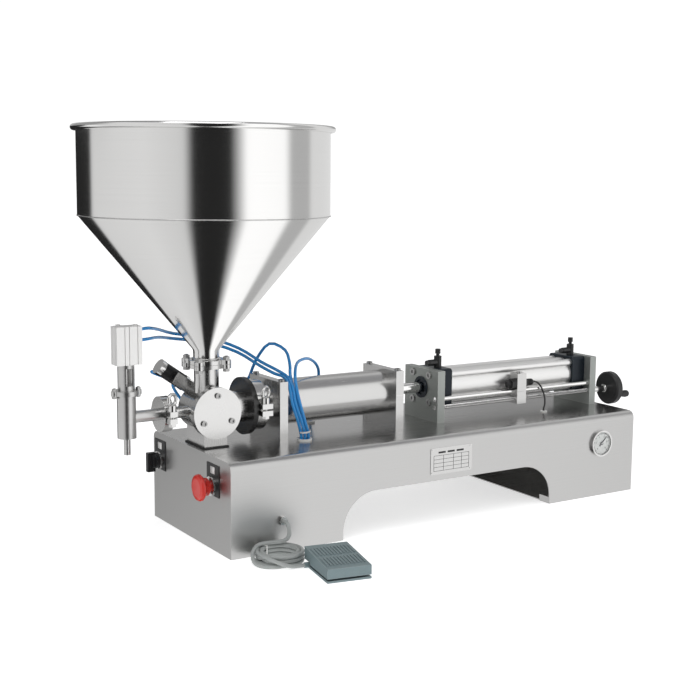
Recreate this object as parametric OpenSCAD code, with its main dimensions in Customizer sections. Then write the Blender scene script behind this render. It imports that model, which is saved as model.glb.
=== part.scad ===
// Bench-top piston liquid filler: base, hopper, rotary valve, product cylinder,
// air cylinder, stroke adjuster, shut-off nozzle and foot switch.
// Frame: X runs from the nozzle end to the handwheel end, Y to the rear, Z up.
// The origin is on the floor under the middle of the base. Millimetres.

/* [Base] */
// Length of the base box
base_length = 800; // [600:10:1000]
// Width of the base box
base_width = 275; // [220:5:340]
// Height of the base box
base_height = 143; // [120:1:180]
// Thickness of the base sheet
sheet = 2; // [1.2:0.1:3]
// Bend radius of the long top edges
edge_radius = 12; // [4:1:20]
// Half the width of the arch at the floor
arch_half = 208; // [150:1:260]
// Height of the arch
arch_height = 71.5; // [50:0.5:90]
// Corner radius of the arch
arch_radius = 60; // [30:1:70]

/* [Hopper] */
// Outside radius of the hopper
hopper_radius = 188; // [140:1:220]
// Height of the hopper rim above the floor
hopper_top = 626; // [560:1:680]
// Height of the joint between cylinder and cone
hopper_joint = 494; // [450:1:530]
// Thickness of the hopper sheet
hopper_sheet = 1.5; // [1:0.1:3]

/* [Filling head] */
// Height of the common axis of valve and cylinders
axis_z = 197.5; // [190:0.5:205]
// Position of the valve and hopper along the base
valve_x = -371; // [-375:1:-367]
// Outside radius of the valve body
valve_radius = 33; // [30:1:36]
// Radius of the valve rotor bore
rotor_bore = 23; // [20:0.5:25]
// Outside radius of the product cylinder
product_radius = 36; // [34:0.5:38]
// Bore radius of the product cylinder
product_bore = 30; // [28:0.5:32]
// Radius of the common piston rod
rod_radius = 9; // [7:0.5:10]
// Position of the nozzle along the base
nozzle_x = -501.5; // [-505:0.5:-498]

/* [Air cylinder] */
// Side of the square air cylinder caps
cap_side = 65; // [60:1:67]
// Bore radius of the air cylinder
air_bore = 25; // [20:0.5:26]
// Radius of guide rod and lead screw
screw_radius = 4; // [3:0.5:5]
// Radius of the handwheel
wheel_radius = 30; // [26:1:34]

/* [Foot switch] */
// Width of the foot switch
pedal_width = 66; // [60:1:72]
// Depth of the foot switch
pedal_depth = 92; // [84:1:100]
// Diameter of the foot switch cord
cord_d = 6; // [5:0.5:7]
// Diameter of the air tubes
tube_d = 5; // [4:0.5:6]

/* [Hidden] */
$fn = 96;

half_l = base_length / 2;
half_w = base_width / 2;
deck = base_height;
bench_x = 300;
bench_y = 100;
bench_hole = 4.5;

// Mount plates across the base: front and rear pair of each cylinder.
p1 = [-270, -256];
p2 = [-53, -38];
a1 = [33, 47.5];
a2 = [376, 390];
product_plate_y = 50;
product_plate_top = 238;
air_plate_y = 48;
air_plate_top = 230;
tie_pitch = 46.5;

// Stroke adjuster.
adjust_y = -39.5;
guide_z = 181.5;
screw_z = 167.5;
bracket_x = [203, 223];

// Actuator line: measured from the valve axis, square to the lever at mid swing.
act_angle = 35;
act_y = 55;
lever_r = 24;
act_n = 20.5;
act_rest = -lever_r * sin(45);

// Controls on the left end.
estop_y = -81;
selector_y = 110;
switch_z = 99;

// Foot switch placement.
pedal_pos = [-293, -258, 0];
pedal_turn = -10;

// Cord and tube routes, by hand.
coil_pos = [-341, -176.5];
coil_r = 30;
cord_exit = [[-315, -143, 48], [-315, -149.4, 47.3], [-315, -154.8, 44.2], [-315, -158, 39],
    [-315, -159.2, 34.5], [-316.2, -159.4, 29.8], [-319.6, -158.8, 25.4], [-325.5, -157, 22.8],
    [-334, -154.4, 21.9], [-348, -151, 21.8], [-365, -153, 21.2], [-378, -163, 15], [-384, -178, 6.5],
    [-380, -193, 3.3], [-367, -205, 3.3], [-351, -208, 3.3]];
cord_tail = [[-371.5, -190, 15.2], [-371, -197, 14.4], [-364, -209, 11.5], [-354, -217.5, 7.5],
    [-345, -219.6, 4.9], [-336, -220, 4.2], [-326.2, -221.7, 4.2]];
nozzle_tube_a = [[-476.5, 0, 328], [-462, 6, 328], [-434, 34, 321], [-396, 64, 309], [-336, 64, 298],
    [-292, 46, 281], [-270, 12, 262], [-257, -18, 251.5], [-248.8, -36, 242.5], [-246, -47, 227],
    [-244, -52, 204], [-234, -54, 174], [-227, -52, 153], [-227, -52, 140]];
nozzle_tube_b = [[-476.5, 0, 312], [-462, 6, 312], [-434, 34, 309], [-396, 64, 301], [-338, 64, 291],
    [-295, 46, 275], [-274, 12, 257], [-262.5, -17, 247], [-255, -34, 243.4], [-251.8, -45.5, 231],
    [-249, -51, 204], [-239, -52, 174], [-232.5, -50, 152], [-232.5, -50, 140]];
front_tube = [[-426, 67.5, 250], [-425, 82, 249], [-408, 94, 240], [-310, 88, 203], [-268, 72, 218],
    [-255, 57, 258], [-242, 36, 286], [-231, 4, 279], [-236, -20, 260], [-243, -34, 244],
    [-240, -44, 216], [-230, -48, 174], [-224, -46.5, 150], [-224, -46.5, 140]];
crossing_tube = [[-221, -52.5, 140], [-221, -52.5, 152], [-228.5, -55, 174], [-237, -53.5, 204],
    [-240, -48, 228], [-235.5, -36, 247], [-218, -12, 259.5], [-194, 6, 262], [-173, 22, 257],
    [-152, 38, 244], [-141, 50, 225], [-142, 60, 190], [-149, 62, 158], [-150, 62, 140]];
return_tube = [[-392, 67.5, 226], [-391, 80, 225], [-382, 91, 213], [-366, 92, 190], [-354, 81, 168],
    [-350, 68, 152], [-350, 66, 140]];
sensor_route = [[245, -42, 195], [247, -42, 195], [249, -42, 195], [256, -43, 192], [262, -47, 183],
    [264, -53, 168], [259, -60, 156], [254, -63, 149], [254, -63, 140]];

function unit(v) = v / norm(v);
function spline(a, b, c, d, t) =
    0.5 * (2 * b + (c - a) * t + (2 * a - 5 * b + 4 * c - d) * t * t + (3 * b - a - 3 * c + d) * t * t * t);
function last(p) = len(p) - 1;
function smooth_path(p, n) = concat(
    [for (i = [0 : last(p) - 1], k = [0 : n - 1])
        spline(p[max(i - 1, 0)], p[i], p[i + 1], p[min(i + 2, last(p))], k / n)],
    [p[last(p)]]
);
function tangents(q) = [for (i = [0 : last(q)]) unit(q[min(i + 1, last(q))] - q[max(i - 1, 0)])];
function square_to(n, t) = unit(n - (n * t) * t);
function normals(t, n0) = [
    for (i = 0, n = square_to(n0, t[0]); i < len(t); i = i + 1, n = i < len(t) ? square_to(n, t[i]) : n) n
];
function ring(c, n, b, r, sides) = [
    for (k = [0 : sides - 1]) c + r * (cos(360 * k / sides) * n + sin(360 * k / sides) * b)
];

// Round tube swept along a route of points.
module swept_tube(route, d, sides, n) {
    q = smooth_path(route, n);
    t = tangents(q);
    nn = normals(t, [0.31, 0.17, 1]);
    rings = [for (i = [0 : last(q)]) ring(q[i], nn[i], cross(t[i], nn[i]), d / 2, sides)];
    pts = [for (r = rings, p = r) p];
    m = last(q);
    sides_faces = [for (i = [0 : m - 1], k = [0 : sides - 1])
        [i * sides + k, (i + 1) * sides + k, (i + 1) * sides + (k + 1) % sides,
            i * sides + (k + 1) % sides]];
    start = [[for (k = [0 : sides - 1]) k]];
    end = [[for (k = [sides - 1 : -1 : 0]) m * sides + k]];
    polyhedron(pts, concat(sides_faces, start, end), convexity = 8);
}

// Cylinder along X from x0 to x1 on the axis y, z.
module rod_x(x0, x1, r, y = 0, z = axis_z) {
    translate([x0, y, z]) rotate([0, 90, 0]) cylinder(h = x1 - x0, r = r);
}

// Cylinder along Y from y0 to y1 on the axis x, z.
module rod_y(y0, y1, r, x = valve_x, z = axis_z) {
    translate([x, y1, z]) rotate([90, 0, 0]) cylinder(h = y1 - y0, r = r);
}

// Cylinder along Z from z0 to z1 on the axis x, y.
module rod_z(z0, z1, r, x, y) {
    translate([x, y, z0]) cylinder(h = z1 - z0, r = r);
}

// Block between two corners.
module block(a, b) {
    translate(a) cube(b - a);
}

// Hexagonal prism along Z.
module hex_z(z0, z1, across, x, y) {
    translate([x, y, z0]) cylinder(h = z1 - z0, r = across / sqrt(3), $fn = 6);
}

// Socket head screw standing on z0, pointing up.
module socket_screw(r, h, shank, shank_len) {
    difference() {
        cylinder(h = h, r = r);
        translate([0, 0, h * 0.45]) cylinder(h = h, r = r * 0.58, $fn = 6);
    }
    translate([0, 0, -shank_len]) cylinder(h = shank_len, r = shank);
}

// Frame of the actuator: X along its line, Y to the rear, Z away from the valve axis.
module on_actuator() {
    translate([valve_x, act_y, axis_z]) rotate([0, act_angle, 0]) children();
}

// Section of the base in the YZ plane, drawn as X = Y and Y = Z.
module deck_section(inset) {
    r = edge_radius - inset;
    w = half_w - inset;
    h = deck - inset;
    union() {
        translate([-w, 0]) square([2 * w, h - r]);
        translate([-w + r, 0]) square([2 * w - 2 * r, h]);
        for (s = [-1, 1]) translate([s * (w - r), h - r]) circle(r = r);
    }
}

// Arch seen along Y.
module arch_section(grow) {
    a = arch_half + grow;
    h = arch_height + grow;
    r = arch_radius + grow;
    translate([-a, -1]) square([2 * a, h - r + 1]);
    translate([-a + r, -1]) square([2 * a - 2 * r, h + 1]);
    for (s = [-1, 1]) translate([s * (a - r), h - r]) circle(r = r);
}

module base_shell() {
    color("silver") {
        difference() {
            rotate([90, 0, 90]) linear_extrude(base_length, center = true) deck_section(0);
            rotate([90, 0, 90]) linear_extrude(base_length + 2, center = true) union() {
                deck_section(sheet);
                translate([-half_w + sheet, -1]) square([2 * (half_w - sheet), 3]);
            }
            rotate([90, 0, 0]) linear_extrude(base_width + 2, center = true) arch_section(0);
            rod_y(-half_w - 1, -half_w + sheet + 1, 20.2, 322, 93.5);
            rod_y(-half_w - 1, -half_w + sheet + 1, 5.5, -315, 48);
            rod_z(deck - sheet - 1, deck + 1, 10.4, -227, -50.5);
            for (p = [[-150, 62], [-350, 66]]) rod_z(deck - sheet - 1, deck + 1, 6, p[0], p[1]);
            rod_z(deck - sheet - 1, deck + 1, 4, 254, -63);
        }
        for (s = [-1, 1], t = [-1, 1]) leg_lip(s, t);
    }
}

// Inward return flange along the foot of an arch leg.
module leg_lip(s, t) {
    x0 = s > 0 ? arch_half : -arch_half - sheet;
    y0 = t > 0 ? half_w - sheet - 24 : -half_w + sheet;
    block([x0, y0, 0], [x0 + sheet, y0 + 24, arch_height - arch_radius]);
}

module end_panels() {
    color("darkgray") {
        difference() {
            translate([-half_l, 0, 0]) rotate([90, 0, 90]) linear_extrude(sheet) deck_section(sheet);
            for (y = [estop_y, selector_y]) rod_x(-half_l - 1, -half_l + sheet + 1, 11, y, switch_z);
        }
        translate([half_l - sheet, 0, 0]) rotate([90, 0, 90]) linear_extrude(sheet) deck_section(sheet);
    }
}

// Bottom plates of the two legs, with holes to bolt the machine to a bench.
module bottom_plates() {
    color("gray") for (s = [-1, 1]) difference() {
        block([s > 0 ? arch_half + sheet : -half_l + sheet, -half_w + sheet, 0],
            [s > 0 ? half_l - sheet : -arch_half - sheet, half_w - sheet, sheet]);
        for (y = [-bench_y, bench_y]) rod_z(-1, sheet + 1, bench_hole, s * bench_x, y);
    }
}

module nameplate() {
    color("gainsboro") {
        translate([-4, -half_w, 103.5]) rotate([90, 0, 0]) linear_extrude(0.8) difference() {
            union() {
                square([82, 39], center = true);
                square([78, 43], center = true);
                for (x = [-39, 39], y = [-19.5, 19.5]) translate([x, y]) circle(r = 2);
            }
            for (x = [-38, 38], y = [-18.5, 18.5]) translate([x, y]) circle(r = 1.3);
        }
        for (x = [-38, 38], z = [-18.5, 18.5]) rod_y(-half_w - 1.3, -half_w, 1.3, x - 4, z + 103.5);
    }
}

module gauge_case() {
    color("whitesmoke") translate([322, -half_w, 93.5]) rotate([90, 0, 0]) rotate_extrude() {
        translate([0, -24]) square([20, 24]);
        translate([0, 0]) square([23, 1.6]);
        translate([20.5, 1]) square([2.5, 4]);
        translate([0, 1]) square([1.2, 2.9]);
    }
}

module gauge_needle() {
    color("black") translate([322, -half_w - 2.2, 93.5]) rotate([90, 0, 0]) {
        difference() {
            union() {
                linear_extrude(0.8) rotate([0, 0, 45]) polygon([[-6, -1], [15.5, -0.4], [15.5, 0.4], [-6, 1]]);
                cylinder(h = 1.6, r = 2.6);
            }
            translate([0, 0, -1]) cylinder(h = 4, r = 1.26);
        }
    }
}

module gauge_glass() {
    color("lightblue") translate([322, -half_w - 4, 93.5]) rotate([90, 0, 0]) cylinder(h = 0.8, r = 20.5);
}

module cable_gland() {
    color("silver") translate([-315, -half_w, 48]) rotate([90, 0, 0]) {
        difference() {
            union() {
                cylinder(h = 3, r = 7.6, $fn = 6);
                translate([0, 0, 3]) cylinder(h = 2.5, r = 6.2);
                translate([0, 0, -12]) cylinder(h = 12, r = 5.5);
            }
            translate([0, 0, -13]) cylinder(h = 15, r = cord_d / 2 + 0.4);
        }
    }
}

module hose_grommets() {
    color("whitesmoke") {
        difference() {
            union() {
                rod_z(deck, deck + 3, 12, -227, -50.5);
                rod_z(deck - 5, deck, 10.4, -227, -50.5);
            }
            rod_z(deck - 6, deck + 4, 9.2, -227, -50.5);
        }
        for (p = [[-150, 62], [-350, 66]]) difference() {
            union() {
                rod_z(deck, deck + 3, 8, p[0], p[1]);
                rod_z(deck - 5, deck, 6, p[0], p[1]);
            }
            rod_z(deck - 6, deck + 4, tube_d / 2 + 0.6, p[0], p[1]);
        }
        difference() {
            union() {
                rod_z(deck, deck + 2.5, 6, 254, -63);
                rod_z(deck - 5, deck, 4, 254, -63);
            }
            rod_z(deck - 6, deck + 4, 2.2, 254, -63);
        }
    }
}

module legend_plates() {
    color("dimgray") for (y = [estop_y, selector_y]) difference() {
        block([-half_l - 1.2, y - 20, switch_z - 15], [-half_l, y + 20, switch_z + 33]);
        rod_x(-half_l - 2, -half_l + 1, 11, y, switch_z);
    }
}

module switch_collars() {
    color("silver") for (y = [estop_y, selector_y]) difference() {
        union() {
            rod_x(-half_l - 6.5, -half_l - 1.2, 14.5, y, switch_z);
            rod_x(-half_l - 1.2, -half_l + 18, 11, y, switch_z);
        }
        rod_x(-half_l - 8, -half_l + 20, 8, y, switch_z);
    }
}

module selector_knob() {
    color("black") translate([-half_l - 6.9, selector_y, switch_z]) rotate([0, -90, 0]) {
        difference() {
            union() {
                cylinder(h = 5, r = 12.5);
                translate([0, 0, 5]) cylinder(h = 5, r1 = 12.5, r2 = 11.6);
                translate([-17, -4.2, 4]) cube([31, 8.4, 13]);
            }
            translate([0, 0, 5]) for (s = [-1, 1]) translate([-13, s > 0 ? 8.8 : -14.8, 0]) cube([26, 6, 8]);
        }
        translate([0, 0, -20]) cylinder(h = 20, r = 7.9);
    }
}

module estop_plunger() {
    color("firebrick") {
        rod_x(-half_l - 14.5, -half_l + 14, 7.9, estop_y, switch_z);
        rod_x(-half_l - 24, -half_l - 14.5, 4, estop_y, switch_z);
    }
}

module estop_head() {
    color("red") translate([-half_l, estop_y, switch_z]) rotate([0, -90, 0]) difference() {
        rotate_extrude() polygon([[0, 14.7], [8.3, 14.7], [8.3, 11], [13.2, 11], [13.6, 15], [14.6, 17.5],
            [18, 19.8], [20, 21.8], [20, 24.5], [18.5, 27], [14, 28.4], [0, 28.8]]);
        translate([0, 0, 14]) cylinder(h = 10.2, r = 4.05);
    }
}

module valve_gasket() {
    color("black") block([valve_x - 21, -34, deck], [valve_x + 21, 34, deck + 2]);
}

module valve_mount() {
    color("silver") difference() {
        block([valve_x - 19, -31, deck + 2], [valve_x + 19, 31, axis_z - 20]);
        rod_y(-32, 33, valve_radius);
        rod_y(-32, -27.5, 39.5);
    }
}

module valve_body() {
    color("silver") difference() {
        union() {
            rod_y(-30, 32, valve_radius);
            rod_y(-33, -27.5, 39.5);
            rod_z(axis_z, 263, 19, valve_x, 0);
            neck_disc(263, 269);
            rod_x(-441, valve_x, 9);
            rod_x(-443.5, -440.5, 21);
            rod_x(valve_x, -312, 25);
        }
        rod_y(-34, 26, rotor_bore);
        rod_y(25, 33, 6.04);
        rod_z(axis_z, 270, 16, valve_x, 0);
        neck_holes(262, 270);
        rod_x(-445, valve_x, 7);
        rod_x(valve_x, -310, 15);
    }
}

// Round flange with four bolt lugs.
module neck_disc(z0, z1) {
    rod_z(z0, z1, 28, valve_x, 0);
    for (a = [45 : 90 : 315])
        rod_z(z0, z1, 7.5, valve_x + 32 * cos(a), 32 * sin(a));
}

module neck_holes(z0, z1) {
    for (a = [45 : 90 : 315])
        rod_z(z0, z1, 3.3, valve_x + 32 * cos(a), 32 * sin(a));
}

module valve_cover() {
    color("gainsboro") difference() {
        rod_y(-39, -33, 39.5);
        for (a = [90, 210, 330])
            rod_y(-40, -32, 2.6, valve_x + 27 * cos(a), axis_z + 27 * sin(a));
    }
}

module valve_rotor() {
    color("lightgray") {
        difference() {
            rod_y(-32.6, 25.6, rotor_bore - 0.05);
            rod_z(axis_z - 30, axis_z + 30, 13, valve_x, 0);
            rod_x(valve_x, valve_x + 30, 13);
        }
        rod_y(25.6, 49, 6);
        translate([valve_x, 49, axis_z]) rotate([90, -10, 0]) linear_extrude(6) difference() {
            union() {
                circle(r = 10);
                translate([-6, 0]) square([12, lever_r]);
                translate([0, lever_r]) circle(r = 6);
            }
            circle(r = 6);
        }
        rod_y(49, 60, 3, valve_x - lever_r * sin(10), axis_z + lever_r * cos(10));
    }
}

module actuator_bracket() {
    color("silver") difference() {
        union() {
            translate([valve_x, 38, axis_z]) rotate([90, 0, 0]) linear_extrude(6) union() {
                circle(r = 27);
                rotate([0, 0, -act_angle]) translate([-58, 8]) square([58, 19]);
            }
            translate([0, 38 - act_y, 0]) on_actuator() block([-58, 0, act_n - 10], [-34, 9, act_n + 6.5]);
        }
        rod_y(31, 39, 10.5);
        on_actuator() rod_x(-60, -30, 12, 0, act_n);
    }
}

module actuator_barrel() {
    color("black") on_actuator() difference() {
        rod_x(-74, -34, 12, 0, act_n);
        rod_x(-75, -33, 9, 0, act_n);
    }
}

module actuator_end_caps() {
    color("silver") {
        on_actuator() rod_x(-82, -74, 12.5, 0, act_n);
        on_actuator() difference() {
            rod_x(-34, -28, 12.5, 0, act_n);
            rod_x(-35, -27, 3.04, 0, act_n);
        }
    }
}

module actuator_rod() {
    color("gainsboro") translate([act_rest * cos(act_angle), 0, -act_rest * sin(act_angle)]) on_actuator() {
        rod_x(-52, -7, 3, 0, act_n);
        rod_x(-56.5, -51, 8.95, 0, act_n);
        difference() {
            block([-8, -3.5, 9.4], [8, 3.5, 31.6]);
            hull() {
                rod_y(-4, 4, 3.85, 0, 16.9);
                rod_y(-4, 4, 3.85, 0, 24.1);
            }
        }
    }
}

module hopper() {
    wall = hopper_sheet;
    r = hopper_radius;
    color("silver") {
        translate([valve_x, 0, 0]) rotate_extrude($fn = 160) {
            polygon([[20, 276], [20, 291], [r, hopper_joint], [r, hopper_top - 4.5],
                [r - wall, hopper_top - 4.5],
                [r - wall, hopper_joint + 0.6], [20 - wall, 291.6], [20 - wall, 276]]);
            translate([r + 4.5 - wall, hopper_top - 4.5]) difference() {
                circle(r = 4.5, $fn = 24);
                circle(r = 4.5 - wall, $fn = 24);
            }
        }
        difference() {
            neck_disc(269, 276);
            rod_z(268, 277, 18.5, valve_x, 0);
            neck_holes(268, 277);
        }
    }
}

module flange_bolts() {
    color("dimgray") {
        for (a = [45 : 90 : 315]) {
            x = valve_x + 32 * cos(a);
            y = 32 * sin(a);
            rod_z(259, 282, 3, x, y);
            hex_z(276, 280.5, 10, x, y);
            hex_z(258, 263, 10, x, y);
        }
        for (s = [-1, 1]) {
            rod_z(227, 243, 2, nozzle_x + s * 18.8, 0);
            hex_z(238.4, 242, 7, nozzle_x + s * 18.8, 0);
            hex_z(227.8, 231.4, 7, nozzle_x + s * 18.8, 0);
        }
    }
}

// Two-piece pipe clamp on an X axis pipe with a vertical swing bolt at the front.
module pipe_clamp(x0, x1, r_out, r_groove, r_pipe, groove, bolt_y) {
    xc = (x0 + x1) / 2;
    difference() {
        union() {
            rod_x(x0, x1, r_out);
            for (s = [-1, 1]) block([x0 + 1.5, bolt_y - 7, axis_z + (s > 0 ? 1.5 : -9.5)],
                [x1 - 1.5, -r_out + 6, axis_z + (s > 0 ? 9.5 : -1.5)]);
            rod_x(x0 + 3, x1 - 3, 5.5, r_out + 3);
            block([x0 + 3, r_out - 5, axis_z - 5.5], [x1 - 3, r_out + 3, axis_z + 5.5]);
        }
        rod_x(x0 - 1, x1 + 1, r_pipe);
        rod_x(groove[0], groove[1], r_groove);
        block([x0 - 1, bolt_y - 8, axis_z - 1.5], [x1 + 1, 0, axis_z + 1.5]);
        rod_z(axis_z - 11, axis_z + 11, 3.1, xc, bolt_y);
    }
    rod_z(axis_z - 15, axis_z + 19, 3, xc, bolt_y);
    hex_z(axis_z - 14, axis_z - 9.5, 10, xc, bolt_y);
}

// Eye-winged nut on a vertical bolt.
module wing_nut(x, y, z) {
    difference() {
        union() {
            rod_z(z, z + 9, 6.5, x, y);
            translate([x, y, z + 17]) rotate([90, 0, 25]) rotate_extrude($fn = 48)
                translate([8.2, 0]) circle(r = 2.7, $fn = 24);
        }
        rod_z(z - 1, z + 10, 3.04, x, y);
    }
}

module outlet_clamp() {
    color("silver") pipe_clamp(-451, -436, 27, 21, 9, [-446.5, -440.5], -33.6);
}

module outlet_wing_nut() {
    color("gainsboro") wing_nut(-443.5, -33.6, axis_z + 9.6);
}

module nozzle_tube() {
    color("silver") difference() {
        union() {
            rod_z(167, 233, 14, nozzle_x, 0);
            rod_z(231.4, 234.9, 18.5, nozzle_x, 0);
            for (s = [-1, 1]) rod_z(231.4, 234.9, 5, nozzle_x + s * 18.8, 0);
            rod_z(141.5, 168, 5, nozzle_x, 0);
            rod_x(nozzle_x, -446, 9);
            rod_x(-446.5, -443.5, 21);
        }
        rod_z(170, 240, 11, nozzle_x, 0);
        rod_z(141, 171, 3.5, nozzle_x, 0);
        rod_x(nozzle_x, -443, 7);
        for (s = [-1, 1]) rod_z(228, 240, 2, nozzle_x + s * 18.8, 0);
    }
}

module nozzle_yoke() {
    color("silver") difference() {
        union() {
            rod_z(234.9, 238.4, 18.5, nozzle_x, 0);
            for (s = [-1, 1]) rod_z(234.9, 238.4, 5, nozzle_x + s * 18.8, 0);
            rod_z(238, 277, 12.5, nozzle_x, 0);
        }
        rod_z(246, 278, 9.5, nozzle_x, 0);
        rod_z(234, 250, 3.04, nozzle_x, 0);
        block([nozzle_x - 6, -20, 246], [nozzle_x + 6, 20, 272]);
        for (s = [-1, 1]) rod_z(234, 242, 2, nozzle_x + s * 18.8, 0);
    }
}

module nozzle_cylinder() {
    color("whitesmoke") {
        difference() {
            union() {
                block([-519.5, -12, 277], [-480, 12, 334]);
                for (p = [[-511, 5], [-488, -5]]) rod_z(334, 336.5, 3.5, p[0], p[1]);
            }
            rod_z(276, 282, 3.04, nozzle_x, 0);
            rod_z(281, 328, 8.5, nozzle_x, 0);
            for (x = [-507, -500, -487]) block([x - 0.6, -13, 276], [x + 0.6, -10.5, 335]);
            for (y = [-6, 6]) block([-520.5, y - 0.6, 276], [-518, y + 0.6, 335]);
            for (z = [312, 328]) rod_x(-484, -479, 3.5, 0, z);
        }
        for (z = [312, 328]) difference() {
            rod_x(-484, -476.5, 3.5, 0, z);
            rod_x(-479.5, -476, tube_d / 2 + 0.2, 0, z);
        }
    }
}

module nozzle_plug_rod() {
    color("gainsboro") {
        rod_z(182, 300, 3, nozzle_x, 0);
        rod_z(300, 306, 8.45, nozzle_x, 0);
        translate([nozzle_x, 0, 170.4]) cylinder(h = 12, r1 = 5, r2 = 8);
    }
}

module inlet_flange() {
    color("dimgray") difference() {
        union() {
            rod_x(-312, -304, 45);
            rod_x(-304, -296, 24);
            rod_x(-297, -293.5, 32);
        }
        rod_x(-313, -293, 15);
    }
}

module inlet_clamp() {
    color("silver") pipe_clamp(-304, -283, 39.5, 32, 24, [-297, -290], -47);
}

module inlet_wing_nut() {
    color("gainsboro") wing_nut(-293.5, -47, axis_z + 9.6);
}

module cylinder_head() {
    color("silver") difference() {
        union() {
            rod_x(-293.5, -290, 32);
            rod_x(-290, -256, 24);
            rod_x(-256, -250, product_bore);
        }
        rod_x(-294, -249, 18);
    }
}

module product_cylinder() {
    color("lightgray") difference() {
        rod_x(-256, -46, product_radius);
        rod_x(-257, -45, product_bore);
    }
}

// Both product plates, to be cut at the axis.
module product_plates() {
    difference() {
        for (p = [p1, p2]) block([p[0], -product_plate_y, deck], [p[1], product_plate_y, product_plate_top]);
        rod_x(-271, -255, 24);
        rod_x(-54, -46, product_radius);
        rod_x(-47, -37, rod_radius + 1.6);
        for (x = [-263, -45.5], y = [-42, 42]) rod_z(axis_z - 20, product_plate_top + 1, 3, x, y);
    }
}

module lower_clamp_plates() {
    color("silver") intersection() {
        product_plates();
        block([-300, -60, deck], [0, 60, axis_z]);
    }
}

module upper_clamp_plates() {
    color("gainsboro") intersection() {
        product_plates();
        block([-300, -60, axis_z], [0, 60, product_plate_top]);
    }
}

module socket_screws() {
    color("dimgray") {
        for (a = [90, 210, 330])
            translate([valve_x + 27 * cos(a), -39, axis_z + 27 * sin(a)]) rotate([90, 0, 0])
                socket_screw(4.5, 3, 2.6, 5.8);
        for (x = [-263, -45.5], y = [-42, 42])
            translate([x, y, product_plate_top]) socket_screw(5, 3.5, 3, 55);
        for (y = [-1, 1], z = [-1, 1])
            translate([a1[0], y * tie_pitch / 2, axis_z + z * tie_pitch / 2]) rotate([0, -90, 0])
                socket_screw(6, 2.6, 3, 14.5);
        for (y = [-1, 1], z = [-1, 1])
            translate([a2[1], y * tie_pitch / 2, axis_z + z * tie_pitch / 2]) rotate([0, 90, 0])
                socket_screw(6, 2.6, 3, 14);
    }
}

module product_piston() {
    color("white") difference() {
        rod_x(-249.5, -232.5, product_bore - 0.05);
        rod_x(-242, -231, rod_radius);
        for (x = [-246, -239]) difference() {
            rod_x(x, x + 2.4, product_bore + 1);
            rod_x(x - 1, x + 4, product_bore - 1.6);
        }
    }
}

module piston_rod() {
    color("gainsboro") {
        rod_x(-242, 95, rod_radius);
        rod_x(76, 95, air_bore - 0.05);
    }
}

module air_mount_plates() {
    color("silver") difference() {
        for (p = [a1, a2]) block([p[0], -air_plate_y, deck], [p[1], air_plate_y, air_plate_top]);
        rod_x(32, 49, 18.5);
        for (y = [-1, 1], z = [-1, 1]) {
            rod_x(32, 49, 3, y * tie_pitch / 2, axis_z + z * tie_pitch / 2);
            rod_x(375, 391, 3, y * tie_pitch / 2, axis_z + z * tie_pitch / 2);
        }
        rod_x(32, 49, screw_radius, adjust_y, guide_z);
        rod_x(375, 384, screw_radius, adjust_y, guide_z);
        rod_x(32, 392, screw_radius + 0.05, adjust_y, screw_z);
    }
}

module air_cylinder_caps() {
    color("midnightblue") {
        difference() {
            union() {
                cap_block(47.5, 74);
                rod_x(31, 47.5, 18.5);
            }
            rod_x(30, 75, rod_radius + 0.05);
            rod_x(30, 34, 13.5);
            rod_x(70, 75, air_bore);
        }
        difference() {
            cap_block(348, 376);
            rod_x(347, 352, air_bore);
        }
    }
}

// Square cap with rounded corners.
module cap_block(x0, x1) {
    s = cap_side / 2;
    translate([x0, 0, axis_z]) rotate([90, 0, 90]) linear_extrude(x1 - x0) union() {
        square([2 * s, 2 * s - 12], center = true);
        square([2 * s - 12, 2 * s], center = true);
        for (y = [-1, 1], z = [-1, 1]) translate([y * (s - 6), z * (s - 6)]) circle(r = 6);
    }
}

module air_cylinder_barrel() {
    color("whitesmoke") translate([74, 0, axis_z]) rotate([90, 0, 90]) linear_extrude(274) difference() {
        union() {
            circle(r = 28);
            for (y = [-1, 1], z = [-1, 1]) translate([y * 21.5, z * 21.5]) circle(r = 6.8);
        }
        circle(r = air_bore);
    }
}

module guide_rod() {
    color("gainsboro") rod_x(33.5, 384, screw_radius, adjust_y, guide_z);
}

module lead_screw() {
    color("gainsboro") {
        rod_x(34, 434, screw_radius, adjust_y, screw_z);
        rod_x(392, 426, 5.5, adjust_y, screw_z);
        rod_x(418, 426, 7.5, adjust_y, screw_z);
    }
}

module handwheel() {
    color("black") translate([426, adjust_y, screw_z]) rotate([90, 0, 90]) {
        difference() {
            rotate_extrude() {
                square([9, 16]);
                polygon([[0, 0], [wheel_radius - 3, 0], [wheel_radius, 2.5], [wheel_radius, 12],
                    [wheel_radius - 1.5, 14],
                    [wheel_radius - 5, 14], [wheel_radius - 6, 9], [0, 9]]);
            }
            translate([0, 0, -1]) cylinder(h = 9, r = screw_radius);
        }
        translate([-20, -10, 5]) cylinder(h = 30, r = 2);
    }
}

module crank_knob() {
    color("black") translate([426, adjust_y - 20, screw_z - 10]) rotate([90, 0, 90]) {
        translate([0, 0, 15]) rotate_extrude()
            polygon([[2.05, 0], [4.2, 0], [5, 3], [6.6, 12], [6.2, 17], [4, 20], [2.05, 20.6]]);
    }
}

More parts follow.
